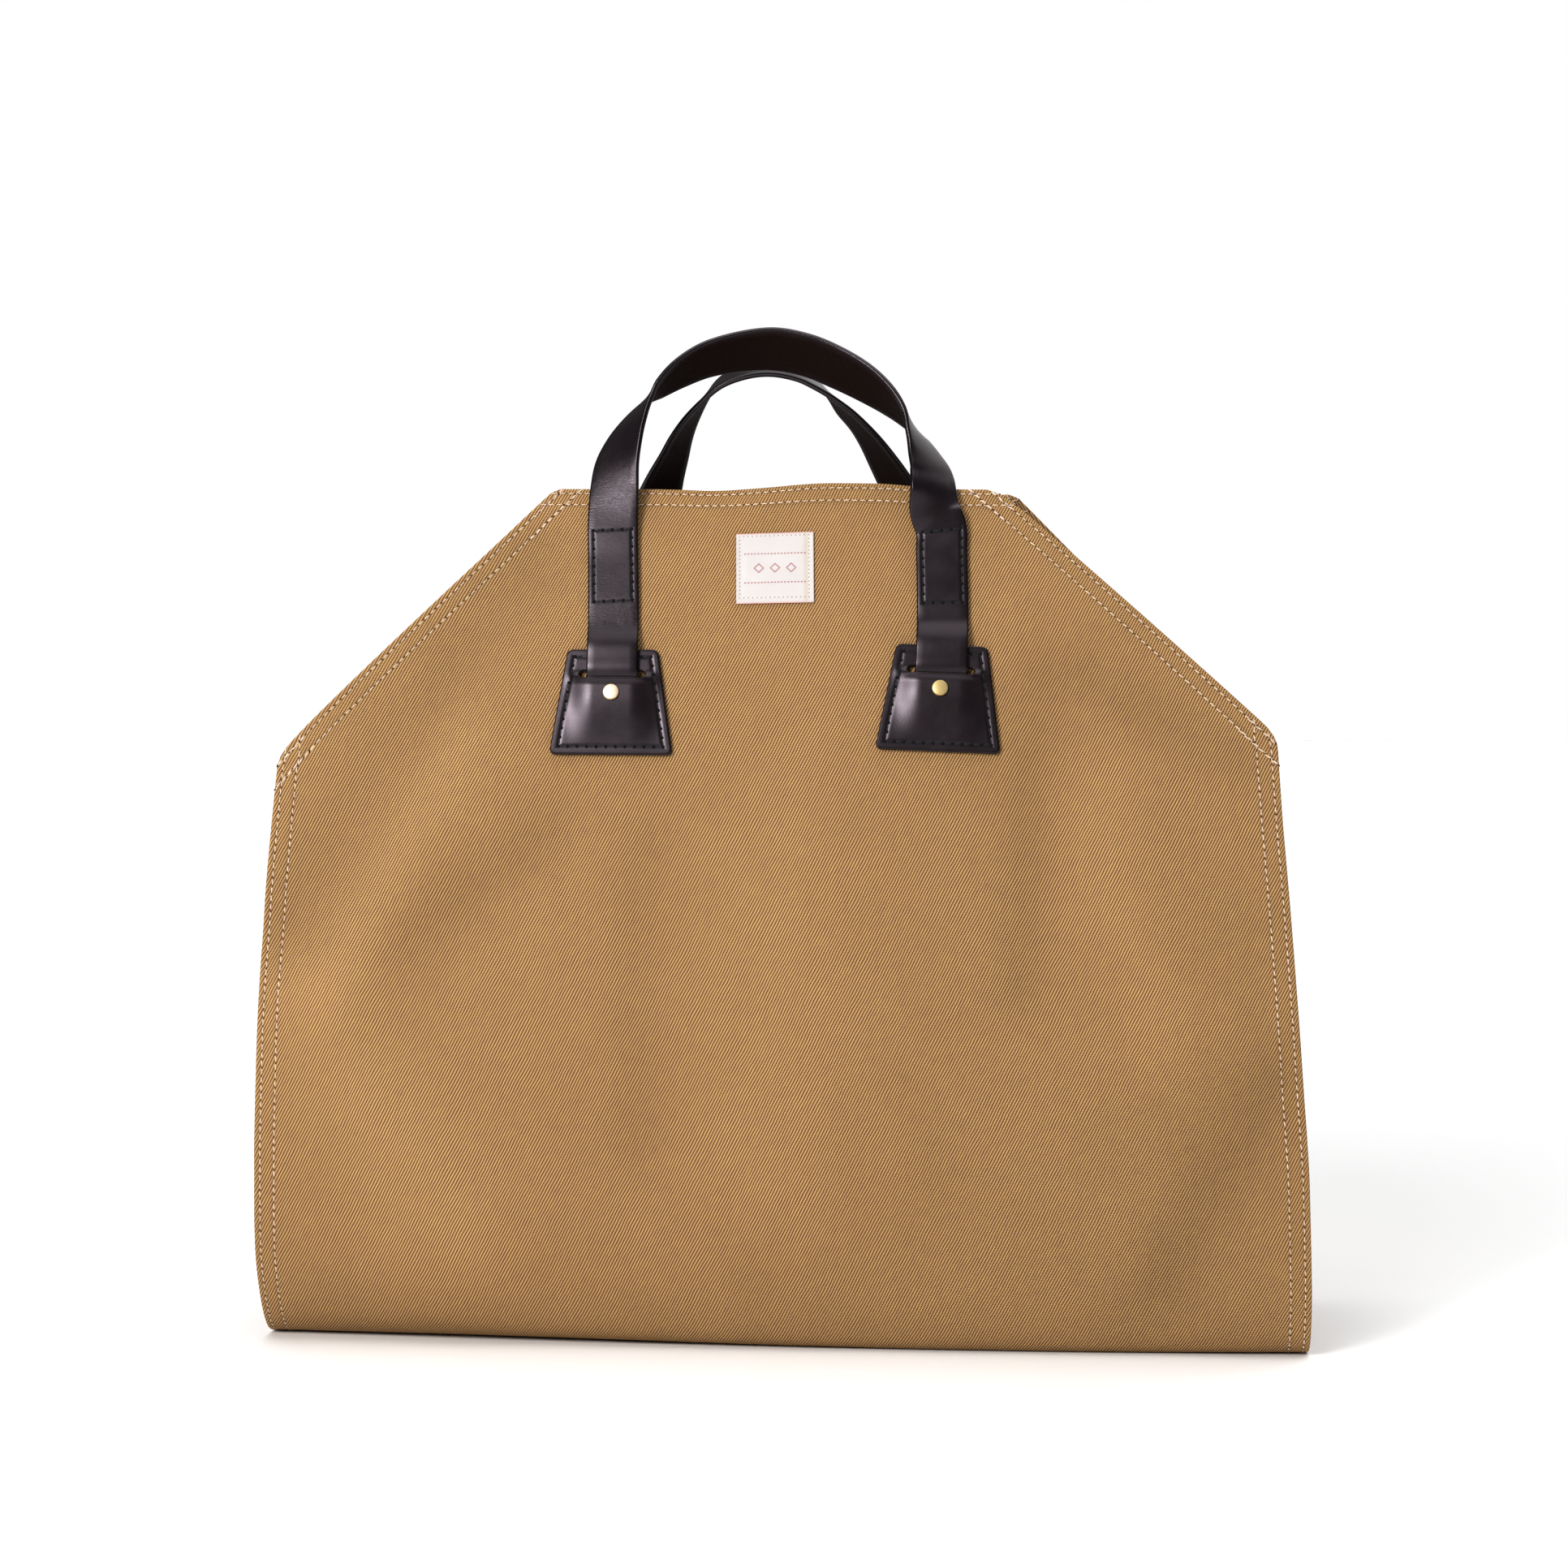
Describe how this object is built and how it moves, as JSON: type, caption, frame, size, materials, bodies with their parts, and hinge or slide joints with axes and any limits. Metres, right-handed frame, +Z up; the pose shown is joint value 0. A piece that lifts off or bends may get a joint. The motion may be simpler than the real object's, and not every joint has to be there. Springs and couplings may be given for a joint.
{
  "type": "log carrier",
  "caption": "Open canvas cradle for carrying firewood, with slanted top corners, hemmed edges and leather strap handles held by riveted leather patches.",
  "frame": {"origin": "middle of the flat base, on the surface that the carrier stands on", "axes": "+Z up, +X across the carrier to the right as seen from the front, the labelled front panel faces -Y"},
  "size_m": [0.611, 0.2042, 0.5972],
  "materials": {
    "canvas": "heavy waxed cotton twill, khaki tan, cream double stitching along the hems",
    "leather": "smooth dark brown-black bridle leather with burnished black edges and black stitching",
    "rivet_brass": "domed cap rivets, lightly aged",
    "label_cloth": "cream woven label, left without lettering"
  },
  "bodies": {
    "root": {"canvas_body": "canvas", "label": "label_cloth", "handle_front": "leather", "handle_back": "leather", "patch_front_left": "leather", "patch_front_right": "leather", "patch_back_left": "leather", "patch_back_right": "leather", "rivet_front_left": "rivet_brass", "rivet_front_right": "rivet_brass", "rivet_back_left": "rivet_brass", "rivet_back_right": "rivet_brass"}
  },
  "joints": []
}
